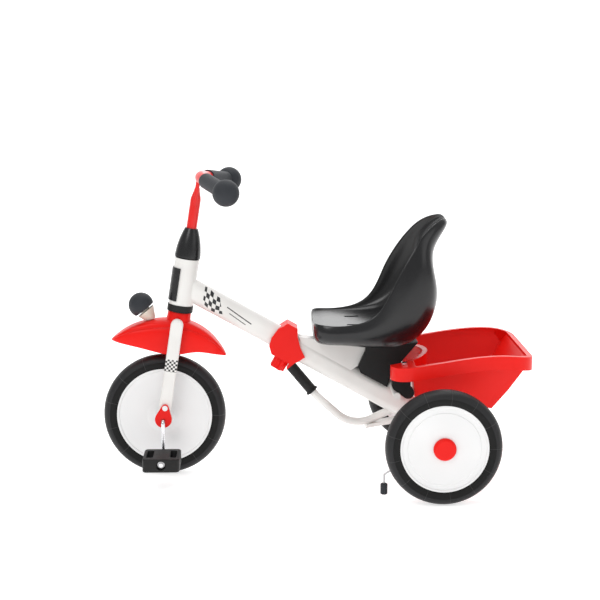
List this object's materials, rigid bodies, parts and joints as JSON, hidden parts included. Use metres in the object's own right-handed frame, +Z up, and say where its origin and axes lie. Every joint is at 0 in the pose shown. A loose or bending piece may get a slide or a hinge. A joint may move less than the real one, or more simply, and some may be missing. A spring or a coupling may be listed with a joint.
{
  "type": "children's tricycle",
  "caption": "Child's pedal tricycle with a telescoping tube frame, bucket seat, mudguard, push horn, tipping tray behind the seat and a wire brake lever.",
  "frame": {"origin": "on the floor under the middle of the overall box", "axes": "-X towards the front wheel, -Y towards the tricycle's left side, +Z up"},
  "size_m": [0.86, 0.498, 0.6231],
  "materials": {
    "white_paint": "gloss",
    "red_paint": "gloss",
    "red_plastic": "gloss",
    "white_plastic": "gloss",
    "cream_plastic": "satin",
    "black_gloss": "gloss",
    "black_plastic": "matt",
    "soft_grip": "matt",
    "tyre_rubber": "matt, ribbed",
    "steel": "satin",
    "bright_steel": "bright"
  },
  "bodies": {
    "rear_frame": {"rear_main_tube": "white_paint", "axle_beam": "white_paint", "beam_plugs": "black_plastic", "rear_axle": "steel", "axle_clips": "steel", "frame_clamp_left": "red_plastic", "frame_clamp_right": "red_plastic", "clamp_screws": "steel", "lower_sleeve": "black_plastic", "lower_tube": "white_paint", "axle_brace": "white_paint", "seat_bracket": "white_paint", "seat_bolts": "steel", "seat_block": "black_plastic", "seat": "black_gloss", "tray_pivot_pin": "steel", "tray_rest_bar": "white_paint", "brake_mount": "black_plastic"},
    "front_frame": {"front_tube": "white_paint", "head_tube": "white_paint", "head_trim": "black_gloss", "lower_steering_bush": "black_plastic", "upper_steering_bush": "black_plastic"},
    "steering": {"fork": "white_paint", "mudguard": "red_plastic", "horn_base": "cream_plastic", "handlebar": "red_paint", "left_grip": "soft_grip", "right_grip": "soft_grip", "stem_cone": "black_gloss", "stem_bolt": "steel", "fork_bushes": "black_plastic", "fork_cap_left": "red_plastic", "fork_cap_right": "red_plastic", "fork_cap_screws": "white_plastic"},
    "horn_cap": {"horn_cap": "soft_grip"},
    "front_wheel": {"front_tyre": "tyre_rubber", "front_disc_left": "white_plastic", "front_disc_right": "white_plastic", "crank_axle": "bright_steel", "pedal_clips": "steel"},
    "left_pedal": {"left_pedal": "black_plastic"},
    "right_pedal": {"right_pedal": "black_plastic"},
    "left_wheel": {"left_rear_tyre": "tyre_rubber", "left_disc_outer": "white_plastic", "left_disc_inner": "white_plastic", "left_wheel_bushes": "black_plastic", "left_wheel_cap": "red_plastic"},
    "right_wheel": {"right_rear_tyre": "tyre_rubber", "right_disc_outer": "white_plastic", "right_disc_inner": "white_plastic", "right_wheel_bushes": "black_plastic", "right_wheel_cap": "red_plastic"},
    "clamp_knob": {"clamp_knob": "red_plastic", "clamp_stud": "steel"},
    "tray": {"tray": "red_plastic", "tray_bolts": "bright_steel", "tray_buffers": "black_plastic"},
    "brake_lever": {"brake_lever": "steel", "brake_tip": "soft_grip"}
  },
  "joints": [
    {"name": "frame_length", "type": "slide", "parent": "rear_frame", "child": "front_frame", "axis": [-0.8717, 0, 0.4901], "range_m": [0, 0.05]},
    {"name": "steering", "type": "hinge", "parent": "front_frame", "child": "steering", "pos_m": [-0.26369, 0, 0.39182], "axis": [0.153, 0, 0.9882], "range_deg": [-40, 40]},
    {"name": "horn_press", "type": "slide", "parent": "steering", "child": "horn_cap", "axis": [0.6157, 0, -0.788], "range_m": [0, 0.003], "stiffness_N_per_m": 400, "springref_m": -0.001},
    {"name": "front_wheel_spin", "type": "hinge", "parent": "steering", "child": "front_wheel", "pos_m": [-0.305, 0, 0.125], "axis": [0, 1, 0], "continuous": true},
    {"name": "left_pedal_spin", "type": "hinge", "parent": "front_wheel", "child": "left_pedal", "pos_m": [-0.305, -0.117, 0.057], "axis": [0, 1, 0], "continuous": true},
    {"name": "right_pedal_spin", "type": "hinge", "parent": "front_wheel", "child": "right_pedal", "pos_m": [-0.305, 0.117, 0.193], "axis": [0, 1, 0], "continuous": true},
    {"name": "left_wheel_spin", "type": "hinge", "parent": "rear_frame", "child": "left_wheel", "pos_m": [0.242, -0.225, 0.113], "axis": [0, 1, 0], "continuous": true},
    {"name": "right_wheel_spin", "type": "hinge", "parent": "rear_frame", "child": "right_wheel", "pos_m": [0.242, 0.225, 0.113], "axis": [0, 1, 0], "continuous": true},
    {"name": "clamp_knob_turn", "type": "hinge", "parent": "rear_frame", "child": "clamp_knob", "pos_m": [-0.06712, 0, 0.23541], "axis": [0.4901, 0, 0.8717], "range_deg": [-180, 0]},
    {"name": "tray_tip", "type": "hinge", "parent": "rear_frame", "child": "tray", "pos_m": [0.242, 0, 0.15], "axis": [0, 1, 0], "range_deg": [0, 45]},
    {"name": "brake_lift", "type": "hinge", "parent": "rear_frame", "child": "brake_lever", "pos_m": [0.217, -0.171, 0.092], "axis": [0, 1, 0], "range_deg": [0, 30]}
  ]
}
